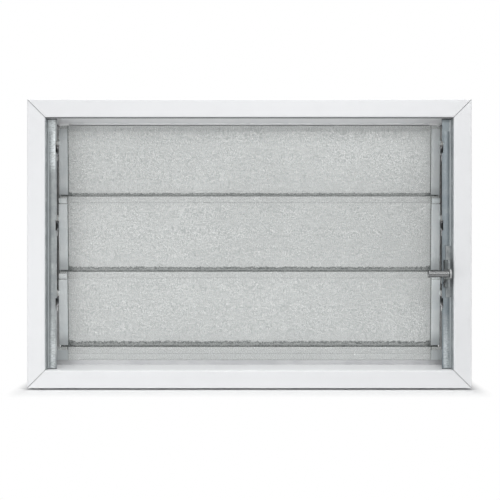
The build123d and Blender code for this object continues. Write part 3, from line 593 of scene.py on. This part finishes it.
def hammered_glass(settings):
    """Cloudy rolled glass: part of the light goes through, part is scattered by the dimples."""
    material, tree, shader, place = new_material("hammered_glass")
    upright = (1.0, 1.0, 0.7)
    fine = 1.0 / settings.fine_grain
    rice = place_group(tree, "fine_grain", place, Scale=fine, Stretch=upright, Detail=1.0)
    ripple = place_group(tree, "fine_grain", place, Scale=1.25 * fine, Stretch=upright, Detail=2.0)
    sway_noise = place_group(tree, "fine_grain", place, Scale=0.5 * fine, Detail=4.0)
    # Up the pane in widths of the painted shadow line; in from the holder and below the hidden edge in
    # millimetres
    rub, beside, behind = (attribute(tree, name) for name in ("shadow_line_place", "holder_place", "back_line"))

    # The painted shadow line where the next pane's top edge lies in front: soft below, frayed above, paler
    # along its middle and broken up by noise
    sway = math_node(tree, "SUBTRACT", sway_noise["Height"], 0.5)
    near_end = step_between(tree, beside, 0.0, 11.0, 1.0, 0.0)
    start = step_between(tree, math_node(tree, "MULTIPLY_ADD", sway, 0.5, rub), -0.12, 0.06)
    frayed = math_node(tree, "MULTIPLY_ADD", near_end, -0.35, math_node(tree, "MULTIPLY_ADD", sway, 1.5, rub))
    end = step_between(tree, frayed, 0.9, 1.08, 1.0, 0.0)
    middle = band_between(tree, frayed, (0.12, 0.4), (0.55, 0.85))
    middle = math_node(tree, "MULTIPLY", middle, math_node(tree, "SUBTRACT", 1.0, near_end))
    lighter = math_node(tree, "MULTIPLY_ADD", middle, -0.5, 0.9)
    broken = step_between(tree, sway_noise["Height"], 0.3, 0.6, 0.75, 1.0)
    rubbed = combined(tree, "MULTIPLY", start, end, lighter, broken)

    # The next pane's edge behind this one, and a painted shadow line beside the holder's lip
    seen_through = band_between(tree, behind, (-0.5, 0.0), (0.0, 0.6), 0.45)
    holder_shadow = band_between(tree, beside, (-0.4, 0.0), (0.7, 1.6), 0.8)
    dark = combined(tree, "MAXIMUM", rubbed, seen_through, holder_shadow)

    # The glass itself: bright grains on cloudy hollows, with painted light where two panes lie one behind the
    # other
    tint, cloudy = toned(settings.tint), toned(settings.tint, 0.93)
    overlap_light_tint = (0.95, 0.965, 0.955, 1.0)
    clouds = place_group(tree, "soft_patches", place, Scale=8.0, Light=tint, Dark=cloudy, Low=0.35, High=0.65)
    speckle = step_between(tree, rice["Height"], 0.34, 0.62)
    body = blend_colours(tree, speckle, toned(settings.hollow_tint), clouds["Color"])
    # Painted light: the pane is paler in its top strip, where the pane above lies behind it
    overlap_light = step_between(tree, behind, -0.6, 0.0, 0.3, 0.0)
    body = blend_colours(tree, overlap_light, body, overlap_light_tint)
    values = {
        "Base Color": blend_colours(tree, dark, body, toned(settings.edge_and_shadow_tint)),
        "Roughness": ranged(tree, speckle, 0.34, 0.22),
        "Transmission Weight": 0.35,
        "IOR": 1.5,
        "Specular IOR Level": 0.35,
    }
    finish(tree, shader, values, ripple["Height"], 0.6, 0.4 * MM)
    return material


def glass_edge(settings):
    """The cut edges: darker and greener, because the light runs along inside the pane."""
    light, dark = toned(settings.edge_and_shadow_tint, 2.2), toned(settings.edge_and_shadow_tint)
    patches = {"Scale": 260.0, "Low": 0.4, "High": 0.6}
    ground = {"Scale": 700.0, "Detail": 3.0}
    clear = {"Transmission Weight": 0.15, "IOR": 1.5}
    return even_stock("glass_edge", light, dark, patches, (0.25, 0.4), ground, (0.4, 0.1 * MM), clear)


def dress(material, *nodes):
    """Gives carried CAD nodes their finish."""
    for name in nodes:
        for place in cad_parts[name].material_slots:
            place.material = material


# ---- geometry node trees ----
def tree_with(name, inputs):
    """A geometry node tree with its named inputs; returns it with their sockets."""
    tree = bpy.data.node_groups.new(name, "GeometryNodeTree")
    for kind, labels in inputs.items():
        for label in labels:
            tree.interface.new_socket(name=label, in_out="INPUT", socket_type=f"NodeSocket{kind}")
    tree.interface.new_socket(name="Geometry", in_out="OUTPUT", socket_type="NodeSocketGeometry")
    return tree, tree.nodes.new("NodeGroupInput").outputs


def changed(tree, geometry, kind, values=None, **settings):
    """A geometry after one more node."""
    node = add_node(tree, kind, {"Geometry": geometry, **(values or {})}, **settings)
    return node.outputs["Geometry"]


def end_tree(tree, geometry, *coats):
    """Ends a tree: instances are made real, each coat of material goes on, and the result comes out."""
    geometry = changed(tree, geometry, "GeometryNodeRealizeInstances")
    for coat in coats:
        geometry = changed(tree, geometry, "GeometryNodeSetMaterial", coat)
    set_inputs(tree, tree.nodes.new("NodeGroupOutput"), {"Geometry": geometry})


def hammered_pane_tree():
    """A pane with a dimpled room face; it stands on X and Z, tilted and then moved into place."""
    lengths = ("Length", "Thickness", "Height", "Step", "Grain", "Relief")
    places = ("Seed", "Tilt", "Shadow Line Start", "Shadow Line Width", "Back Line", "Holder Depth")
    tree, given = tree_with(
        "hammered_pane",
        {"Float": lengths + places, "Vector": ("Middle",), "Material": ("Material", "Edge Material")},
    )
    steps = {
        side: math_node(tree, "DIVIDE", given[label], given["Step"])
        for side, label in (("Vertices X", "Length"), ("Vertices Z", "Height"))
    }
    size = vector_of(tree, given["Length"], given["Thickness"], given["Height"])
    pane = add_node(tree, "GeometryNodeMeshCube", {"Size": size, "Vertices Y": 2, **steps})

    where = add_node(tree, "GeometryNodeInputPosition").outputs["Position"]
    moved = vector_node(tree, "ADD", where, vector_of(tree, given["Seed"], 0.0, given["Seed"]))
    noise = {"Vector": moved, "Scale": math_node(tree, "DIVIDE", 1.0, given["Grain"])}
    wobble = add_node(tree, "ShaderNodeTexNoise", {**noise, "Detail": 2.0})
    dimples = add_node(tree, "ShaderNodeTexVoronoi", {**noise, "Smoothness": 0.6}, feature="SMOOTH_F1")
    hollow = math_node(tree, "MULTIPLY", dimples.outputs["Distance"], 0.9)
    depth = math_node(tree, "MULTIPLY_ADD", wobble.outputs["Fac"], 0.7, hollow)
    depth = math_node(tree, "MULTIPLY", math_node(tree, "MINIMUM", depth, 1.0), given["Relief"])

    # Where a point lies, for the materials: from the painted shadow line, the hidden edge and the holder
    x, y, z = axes(tree, where)
    half = math_node(tree, "MULTIPLY", given["Height"], 0.5)
    half_length = math_node(tree, "MULTIPLY", given["Length"], 0.5)
    from_bottom = math_node(tree, "ADD", z, half)
    from_top = math_node(tree, "SUBTRACT", half, z)
    from_end = math_node(tree, "SUBTRACT", half_length, math_node(tree, "ABSOLUTE", x))
    marks = (
        ("shadow_line_place", "DIVIDE", from_bottom, "Shadow Line Start", given["Shadow Line Width"]),
        ("back_line", "MULTIPLY", from_top, "Back Line", 1.0 / MM),
        ("holder_place", "MULTIPLY", from_end, "Holder Depth", 1.0 / MM),
    )
    shape = pane.outputs["Mesh"]
    for name, operation, distance, start, scale in marks:
        past = math_node(tree, "SUBTRACT", distance, given[start])
        mark = {"Name": name, "Value": math_node(tree, operation, past, scale)}
        kept = {"data_type": "FLOAT", "domain": "POINT"}
        shape = changed(tree, shape, "GeometryNodeStoreNamedAttribute", mark, **kept)

    on_room_face = math_node(tree, "LESS_THAN", y, 0.0)
    dent = {"Selection": on_room_face, "Offset": vector_of(tree, 0.0, depth)}
    shape = changed(tree, shape, "GeometryNodeSetPosition", dent)
    stand = {"Translation": given["Middle"], "Rotation": vector_of(tree, given["Tilt"])}
    shape = changed(tree, shape, "GeometryNodeTransform", stand)
    normal = add_node(tree, "GeometryNodeInputNormal").outputs["Normal"]
    across = math_node(tree, "ABSOLUTE", axes(tree, normal)[1])
    is_face = math_node(tree, "GREATER_THAN", across, 0.5)
    is_edge = math_node(tree, "LESS_THAN", across, 0.5)
    shape = changed(tree, shape, "GeometryNodeSetShadeSmooth", {"Shade Smooth": is_face})
    end_tree(
        tree,
        shape,
        {"Material": given["Material"]},
        {"Material": given["Edge Material"], "Selection": is_edge},
    )
    return tree


def end_tabs_tree():
    """A pressed tab on every point of the base mesh: a rounded plate with a raised bead along its middle."""
    tree, given = tree_with(
        "end_tabs",
        {
            "Geometry": ("Points",),
            "Float": ("Length", "Height", "Thickness", "Rounding", "Tilt"),
            "Material": ("Material",),
        },
    )
    tab = tree.nodes.new("GeometryNodeJoinGeometry")
    plate, bead = (1.0, 1.0, 0.0), (0.66, 0.34, -0.5)
    for length_share, height_share, forward in (plate, bead):
        ahead = math_node(tree, "MULTIPLY", given["Thickness"], forward)
        ends = {
            end: vector_of(tree, math_node(tree, "MULTIPLY", given["Length"], side * length_share), ahead)
            for end, side in (("Start", -0.5), ("End", 0.5))
        }
        path = add_node(tree, "GeometryNodeCurvePrimitiveLine", ends)
        height = math_node(tree, "MULTIPLY", given["Height"], height_share)
        outline = {"Width": given["Thickness"], "Height": height}
        outline = add_node(tree, "GeometryNodeCurvePrimitiveQuadrilateral", outline)
        corners = {"Count": 4, "Curve": outline.outputs["Curve"], "Radius": given["Rounding"]}
        rounded = add_node(tree, "GeometryNodeFilletCurve", corners, mode="POLY")
        sweep = {"Curve": path.outputs["Curve"], "Profile Curve": rounded.outputs["Curve"], "Fill Caps": True}
        swept = add_node(tree, "GeometryNodeCurveToMesh", sweep)
        set_inputs(tree, tab, {"Geometry": swept.outputs["Mesh"]})
    lean = {"Rotation": vector_of(tree, given["Tilt"])}
    stood = changed(tree, tab.outputs["Geometry"], "GeometryNodeTransform", lean)
    spread = add_node(tree, "GeometryNodeInstanceOnPoints", {"Points": given["Points"], "Instance": stood})
    end_tree(tree, spread.outputs["Instances"], {"Material": given["Material"]})
    return tree


# ---- meshes and pieces ----
def socket_id(tree, label):
    """The identifier of a tree's input, by its label."""
    return next(
        item.identifier for item in tree.interface.items_tree if item.in_out == "INPUT" and item.name == label
    )


def grown_mesh(name, tree, values, base=None):
    """Runs a geometry node tree and keeps its result as a plain mesh."""
    holder = bpy.data.objects.new(name + "_base", base or bpy.data.meshes.new(name + "_base"))
    bpy.context.scene.collection.objects.link(holder)
    modifier = holder.modifiers.new("grow", "NODES")
    modifier.node_group = tree
    for label, value in values.items():
        modifier[socket_id(tree, label)] = value
    depsgraph = bpy.context.evaluated_depsgraph_get()
    mesh = bpy.data.meshes.new_from_object(
        holder.evaluated_get(depsgraph), preserve_all_data_layers=True, depsgraph=depsgraph
    )
    mesh.name = name
    holder.modifiers.remove(modifier)
    bpy.data.objects.remove(holder)
    if not mesh.polygons:
        raise RuntimeError(f"{name} came out empty")
    while mesh.materials and mesh.materials[0] is None:
        mesh.materials.pop(index=0)
    return mesh


def mesh_from(name, build, material, smooth_angle=35.0):
    """Runs `build` on an empty bmesh and returns its mesh, with sharp edges kept sharp."""
    work = bmesh.new()
    build(work)
    bmesh.ops.remove_doubles(work, verts=work.verts[:], dist=1e-6)
    bmesh.ops.recalc_face_normals(work, faces=work.faces[:])
    for face in work.faces:
        face.smooth = True
    for edge in work.edges:
        edge.smooth = len(edge.link_faces) == 2 and edge.calc_face_angle() < math.radians(smooth_angle)
    mesh = bpy.data.meshes.new(name)
    work.to_mesh(mesh)
    work.free()
    mesh.materials.append(material)
    return mesh


def extruded(work, section, start, end, axis="Z"):
    """A bar with the section's corners, from `start` to `end` along one axis."""
    rings = []
    for along in (start, end):
        corners = [(*corner, along) if axis == "Z" else (along, *corner) for corner in section]
        rings.append([work.verts.new(corner) for corner in corners])
    for place in range(len(section)):
        after = (place + 1) % len(section)
        work.faces.new((rings[0][place], rings[0][after], rings[1][after], rings[1][place]))
    for ring in rings:
        work.faces.new(ring)


def new_piece(name, mesh, body, slot, *replaced):
    """Puts a finished mesh in the scene, on its body, in place of the CAD nodes it stands for."""
    piece = bpy.data.objects.new(name, mesh)
    bpy.context.scene.collection.objects.link(piece)
    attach(piece, body)
    if replaced:
        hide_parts(*replaced)
    return piece


def opening():
    """Lowest and highest corner of the clear opening inside the frame."""
    left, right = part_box("frame_jamb_left"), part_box("frame_jamb_right")
    sill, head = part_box("frame_sill"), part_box("frame_head")
    return Vector((left[1].x, left[0].y, sill[1].z)), Vector((right[0].x, right[1].y, head[0].z))


def upright_box(node, tilt):
    """The corners of a tilted pane's box, measured with the tilt taken off."""
    back = Matrix.Rotation(-tilt, 3, "X")
    points = [back @ vertex.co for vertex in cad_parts[node].data.vertices]
    low = Vector([min(point[axis] for point in points) for axis in range(3)])
    high = Vector([max(point[axis] for point in points) for axis in range(3)])
    return low, high


# ---- the stage ----
def add_lamp(name, power, size, place, target):
    """A rectangular soft lamp aimed at a point."""
    data = bpy.data.lights.new(name, "AREA")
    data.shape = "RECTANGLE"
    data.size, data.size_y = size
    data.energy = power
    lamp = bpy.data.objects.new(name, data)
    lamp.location = place
    lamp.rotation_euler = (Vector(target) - Vector(place)).to_track_quat("-Z", "Y").to_euler()
    bpy.context.scene.collection.objects.link(lamp)


def place_camera(settings):
    """A level camera square to the room face."""
    data = bpy.data.cameras.new("camera")
    data.lens = settings.focal_length
    data.sensor_width = 36.0
    data.clip_start = 0.01
    camera = bpy.data.objects.new("camera", data)
    room_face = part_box("frame_head")[0].y
    away = room_face - settings.camera_distance
    camera.location = (settings.camera_shift_right, away, settings.camera_height)
    camera.rotation_euler = (math.radians(90), 0.0, 0.0)
    bpy.context.scene.collection.objects.link(camera)
    bpy.context.scene.camera = camera


def seen_rays(tree):
    """1 for what shows straight, through glass or mirrored in metal, and 0 for light thrown on the object."""
    paths = add_node(tree, "ShaderNodeLightPath").outputs
    kinds = ("Is Camera Ray", "Is Transmission Ray", "Is Glossy Ray")
    return combined(tree, "MAXIMUM", *(paths[kind] for kind in kinds))


def blend_shaders(tree, factor, first, second, out):
    """Puts out `first` where `factor` is 0 and `second` where it is 1."""
    mix = add_node(tree, "ShaderNodeMixShader", {"Fac": factor, 1: first, 2: second})
    set_inputs(tree, out, {"Surface": mix.outputs["Shader"]})


def place_floor(settings):
    """A wide pale floor: it keeps the shadow near the object, deepened there by painted shade, and goes to
    white further out.
    """
    half_width = 6.0
    work = bmesh.new()
    bmesh.ops.create_grid(work, x_segments=8, y_segments=8, size=half_width)
    mesh = bpy.data.meshes.new("floor")
    work.to_mesh(mesh)
    work.free()
    low, high = CAD_BOX
    mesh.transform(Matrix.Translation((0.0, 0.0, low.z - settings.floor_gap)))
    floor = bpy.data.objects.new("floor", mesh)
    bpy.context.scene.collection.objects.link(floor)

    material, tree, shader, place = new_material("floor_paint")
    beyond = vector_node(tree, "SUBTRACT", vector_node(tree, "ABSOLUTE", place), (high.x, high.y, 1.0))
    outside = vector_node(tree, "MAXIMUM", beyond, (0.0, 0.0, 0.0))
    sides = (settings.shadow_reach / settings.side_reach, 1.0, 1.0)
    narrowed = vector_node(tree, "MULTIPLY", outside, sides)
    away = add_node(tree, "ShaderNodeVectorMath", {0: narrowed}, operation="LENGTH").outputs["Value"]
    far = step_between(tree, away, 0.0, settings.shadow_reach)
    seen = seen_rays(tree)
    # The camera sees the floor in the darker near colour: painted shade that deepens its shadow close to the
    # window
    paint = blend_colours(tree, seen, toned(settings.floor_colour), toned(settings.near_floor))
    set_inputs(tree, shader, {"Base Color": paint, "Roughness": 0.9, "Specular IOR Level": 0.1})
    white = add_node(tree, "ShaderNodeEmission", {"Strength": 1.0}).outputs["Emission"]
    shown = math_node(tree, "MULTIPLY", far, seen)
    out = next(node for node in tree.nodes if node.type == "OUTPUT_MATERIAL")
    blend_shaders(tree, shown, shader.outputs["BSDF"], white, out)
    mesh.materials.append(material)


def place_sky(settings):
    """An even light from all round, seen as white by the camera."""
    world = bpy.data.worlds.new("studio")
    world.use_nodes = True
    tree = world.node_tree
    tree.nodes.clear()
    daylight = {"Color": (0.97, 0.985, 1.0, 1.0), "Strength": settings.sky_light}
    lit = add_node(tree, "ShaderNodeBackground", daylight).outputs["Background"]
    plain = add_node(tree, "ShaderNodeBackground", {"Color": WHITE, "Strength": 1.0}).outputs["Background"]
    blend_shaders(tree, seen_rays(tree), lit, plain, tree.nodes.new("ShaderNodeOutputWorld"))
    bpy.context.scene.world = world


# ---- operators ----
def plated_zinc(steel):
    """The zinc plate of screws, rivets and pins, made once."""
    return shared(bpy.data.materials, "plated_zinc", lambda: bright_zinc(steel, "plated_zinc"))


class JALOUSIE_OT_frame(bpy.types.Operator):
    """Coats the four frame members and finishes their corner keys and screws"""

    bl_idname = "jalousie.frame"
    bl_label = "Frame"

    def execute(self, context):
        coat = powder_coat(context.scene.jalousie_coat)
        dress(coat, "frame_head", "frame_sill", "frame_jamb_left", "frame_jamb_right")
        dress(plain_stock("cast_keys"), "corner_keys")
        dress(plated_zinc(context.scene.jalousie_steel), "corner_screws")
        return {"FINISHED"}


class JALOUSIE_OT_glass(bpy.types.Operator):
    """Rolls the three blades and the fixed strip, with their hammered room face"""

    bl_idname = "jalousie.glass"
    bl_label = "Glass"

    def execute(self, context):
        settings = context.scene.jalousie_glass
        glass, edge = hammered_glass(settings), glass_edge(settings)
        tree = shared(bpy.data.node_groups, "hammered_pane", hammered_pane_tree)
        lean, overlap = settings.blade_tilt, settings.overlap
        nowhere = -1.0
        holder_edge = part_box("blade_holder_middle_right")[0].x
        # Node, body, lean, width of the painted shadow line, where the next pane's edge shows through, relief
        panes = (
            ("blade_glass_upper", "blade_upper", lean, 4.4 * MM, nowhere, 1.7),
            ("blade_glass_middle", "blade_middle", lean, 6.2 * MM, overlap, 1.0),
            ("blade_glass_lower", "blade_lower", lean, 7.2 * MM, overlap, 1.0),
            ("strip_glass", "frame", 0.0, None, overlap, 1.0),
        )
        for order, (node, body, tilt, shadow_line_width, back_line, coarse) in enumerate(panes):
            low, high = upright_box(node, tilt)
            size = high - low
            values = {
                "Length": size.x,
                "Thickness": size.y,
                "Height": size.z,
                "Step": settings.mesh_step,
                "Grain": settings.grain,
                "Relief": coarse * settings.relief,
                "Seed": float(settings.seed + 3 * order),
                "Tilt": tilt,
                "Middle": tuple(Matrix.Rotation(tilt, 3, "X") @ ((low + high) / 2)),
                "Shadow Line Start": overlap if shadow_line_width else nowhere,
                "Shadow Line Width": shadow_line_width or 1.0 * MM,
                "Back Line": back_line,
                "Holder Depth": high.x - holder_edge,
                "Material": glass,
                "Edge Material": edge,
            }
            name = node + "_rolled"
            new_piece(name, grown_mesh(name, tree, values), body, "obscure_glass", node)
        return {"FINISHED"}


class JALOUSIE_OT_steelwork(bpy.types.Operator):
    """Galvanises the side plates, tie bars, blade holders, bracket and clips"""

    bl_idname = "jalousie.steelwork"
    bl_label = "Steelwork"

    def execute(self, context):
        steel = context.scene.jalousie_steel
        dress(side_plate_steel(steel), "side_plate_left", "side_plate_right")
        dress(galvanised(steel, "galvanised_sheet"), "tie_bar_left", "tie_bar_right")
        dress(galvanised(steel, "bracket_zinc", metallic=0.6, shade=0.72), "crank_bracket")
        holders = [f"blade_holder_{name}_{side}" for name in BLADES for side in SIDES]
        dress(holder_steel(steel), *holders, "strip_clip_left", "strip_clip_right")
        dress(plain_stock("spring_strip"), "friction_springs")
        dress(plain_stock("nylon_washers"), "pivot_washers")
        return {"FINISHED"}


class JALOUSIE_OT_trim(bpy.types.Operator):
    """Lays the steel strips down both jambs, and the pile seal and the bead under the head; the dark pile
    also stands in for the shade behind the frame's front lip
    """

    bl_idname = "jalousie.trim"
    bl_label = "Trim"

    def execute(self, context):
        low, high = opening()
        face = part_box("frame_head")[0].y
        plate_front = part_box("side_plate_left")[0].y
        strip = galvanised(context.scene.jalousie_steel, "jamb_strip_zinc", (1.0, 1.0, 0.2), 0.35)
        front, thickness, end_gap = face + 2.2 * MM, 0.5 * MM, 0.3 * MM
        bars = []
        for side, sign in zip(SIDES, (-1, 1)):
            wall = sign * high.x
            inner = wall - sign * thickness
            section = ((wall, front), (inner, front + 0.3 * MM), (inner, plate_front), (wall, plate_front))
            ends = (low.z + end_gap, high.z - end_gap, "Z")
            bars.append((f"jamb_strip_{side}", section, ends, strip, "galvanised_steel"))

        # The dark pile seal also stands in for the shade behind the frame's front lip
        pile = plain_stock("grey_pile")
        top, foot = high.z, high.z - 0.7 * MM
        section = (
            (face + 1.9 * MM, top),
            (face + 2.3 * MM, foot),
            (face + 7.4 * MM, foot),
            (face + 7.8 * MM, top),
        )
        reach = high.x - 0.6 * MM
        bars.append(("head_pile_seal", section, (-reach, reach, "X"), pile, "grey_seal_rubber"))

        stop_low, stop_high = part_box("head_stop")
        clearance, chamfer = 0.6 * MM, 0.2 * MM
        foot = max(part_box("blade_glass_upper")[1].z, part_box("head_seal")[1].z) + clearance
        back = stop_low.y - 0.1 * MM
        front = back - 5.4 * MM
        section = ((front, top), (front, foot + chamfer), (front + chamfer, foot), (back, foot), (back, top))
        coat = bpy.data.materials["frame_coat"]
        bars.append(("head_bead", section, (stop_low.x, stop_high.x, "X"), coat, "white_powder_coat"))
        for name, section, ends, material, slot in bars:
            mesh = mesh_from(name, lambda work: extruded(work, section, *ends), material)
            new_piece(name, mesh, "frame", slot)
        return {"FINISHED"}


class JALOUSIE_OT_tabs(bpy.types.Operator):
    """Closes the bare glass corner above each holder with a pressed tab"""

    bl_idname = "jalousie.tabs"
    bl_label = "End tabs"

    def execute(self, context):
        tilt = context.scene.jalousie_glass.blade_tilt
        lean = Matrix.Rotation(tilt, 3, "X")
        tree = shared(bpy.data.node_groups, "end_tabs", end_tabs_tree)
        thickness, end_gap = 0.8 * MM, 0.8 * MM
        for name in BLADES[1:]:
            glass_low, glass_high = upright_box(f"blade_glass_{name}", tilt)
            points = []
            for side in SIDES:
                low, high = upright_box(f"blade_holder_{name}_{side}", tilt)
                bottom, top = high.z + 1.3 * MM, glass_high.z - 2.8 * MM
                middle = Vector(((low.x + high.x) / 2, glass_low.y - 0.6 * thickness, (bottom + top) / 2))
                points.append(lean @ middle)
            base = bpy.data.meshes.new(f"tab_points_{name}")
            base.from_pydata(points, [], [])
            values = {
                "Length": high.x - low.x - 2 * end_gap,
                "Height": top - bottom,
                "Thickness": thickness,
                "Rounding": 0.3 * MM,
                "Tilt": tilt,
                "Material": bpy.data.materials["holder_zinc"],
            }
            mesh = grown_mesh(f"end_tabs_{name}", tree, values, base)
            new_piece(f"end_tabs_{name}", mesh, f"blade_{name}", "galvanised_steel")
        return {"FINISHED"}


class JALOUSIE_OT_extrusions(bpy.types.Operator):
    """Finishes the sill channel, the head stop and their rubber"""

    bl_idname = "jalousie.extrusions"
    bl_label = "Extrusions"

    def execute(self, context):
        dress(mill_aluminium("mill_extrusion", 0.6), "sill_channel")
        # The head stop's aluminium is paler than the sill channel's: painted light in the deep gap above the
        # glass
        dress(mill_aluminium("stop_extrusion", 0.8), "head_stop")
        dress(plain_stock("seal_rubber"), "head_seal", "setting_blocks")
        return {"FINISHED"}


class JALOUSIE_OT_fasteners(bpy.types.Operator):
    """Plates the rivets, pins and the crank's fasteners"""

    bl_idname = "jalousie.fasteners"
    bl_label = "Fasteners"

    def execute(self, context):
        dress(bpy.data.materials["bracket_zinc"], "crank_bracket_rivets")
        dress(
            plated_zinc(context.scene.jalousie_steel),
            "side_plate_rivets",
            "pivot_pins",
            "spring_rivets",
            "crank_pivot_pin",
            "channel_rivets",
            "strip_clip_rivets",
            "head_stop_rivets",
            "crank_link_pin",
            "crank_grip_pin",
            *(f"drive_pins_{name}" for name in BLADES),
        )
        return {"FINISHED"}


class JALOUSIE_OT_crank(bpy.types.Operator):
    """Finishes the crank's lever and its round grip"""

    bl_idname = "jalousie.crank"
    bl_label = "Crank"

    def execute(self, context):
        steel = context.scene.jalousie_steel
        dress(bright_zinc(steel, "lever_zinc", (0.3, 0.42), 0.62), "crank_lever")
        dress(grip_zinc(steel), "crank_grip")
        return {"FINISHED"}


class JALOUSIE_OT_stage(bpy.types.Operator):
    """Sets the floor, the lights and the camera"""

    bl_idname = "jalousie.stage"
    bl_label = "Stage"

    def execute(self, context):
        settings = context.scene.jalousie_stage
        place_floor(settings)
        place_sky(settings)
        place_camera(settings)
        height = CAD_BOX[1].z
        # Name, power, width and height, place, and what it is aimed at
        lamps = (
            ("lamp_front", settings.key_light, (0.8, 0.5), (0.3, -1.5, 0.9), (0.0, 0.0, height * 0.4)),
            ("lamp_left", settings.fill_light, (0.6, 0.16), (-0.6, -0.85, 0.1), (0.0, 0.0, height * 0.45)),
            ("lamp_over", settings.top_light, (1.0, 0.4), (-0.1, -0.3, 1.9), (0.0, -0.05, 0.1)),
        )
        for lamp in lamps:
            add_lamp(*lamp)
        context.scene.view_settings.view_transform = "Standard"
        return {"FINISHED"}


# ---- the add-on ----
class JALOUSIE_PT_panel(bpy.types.Panel):
    """Lists the window's parts and their sizes"""

    bl_label = "Jalousie window"
    bl_space_type = "VIEW_3D"
    bl_region_type = "UI"
    bl_category = "Jalousie"

    def draw(self, context):
        for operator in OPERATORS:
            self.layout.operator(operator.bl_idname)
        for name, group in SETTINGS.items():
            box = self.layout.box()
            for label in group.__annotations__:
                box.prop(getattr(context.scene, name), label)


OPERATORS = (
    JALOUSIE_OT_frame,
    JALOUSIE_OT_glass,
    JALOUSIE_OT_steelwork,
    JALOUSIE_OT_trim,
    JALOUSIE_OT_tabs,
    JALOUSIE_OT_extrusions,
    JALOUSIE_OT_fasteners,
    JALOUSIE_OT_crank,
    JALOUSIE_OT_stage,
)
SETTINGS = {
    "jalousie_glass": GlassSettings,
    "jalousie_steel": SteelSettings,
    "jalousie_coat": CoatSettings,
    "jalousie_stage": StageSettings,
}
CLASSES = (*SETTINGS.values(), *OPERATORS, JALOUSIE_PT_panel)


def register():
    for group in CLASSES:
        bpy.utils.register_class(group)
    for name, group in SETTINGS.items():
        setattr(bpy.types.Scene, name, PointerProperty(type=group))


def unregister():
    for name in SETTINGS:
        delattr(bpy.types.Scene, name)
    for group in reversed(CLASSES):
        bpy.utils.unregister_class(group)


def main():
    register()
    for operator in OPERATORS:
        group, name = operator.bl_idname.split(".")
        getattr(getattr(bpy.ops, group), name)()


if __name__ == "__main__":
    main()
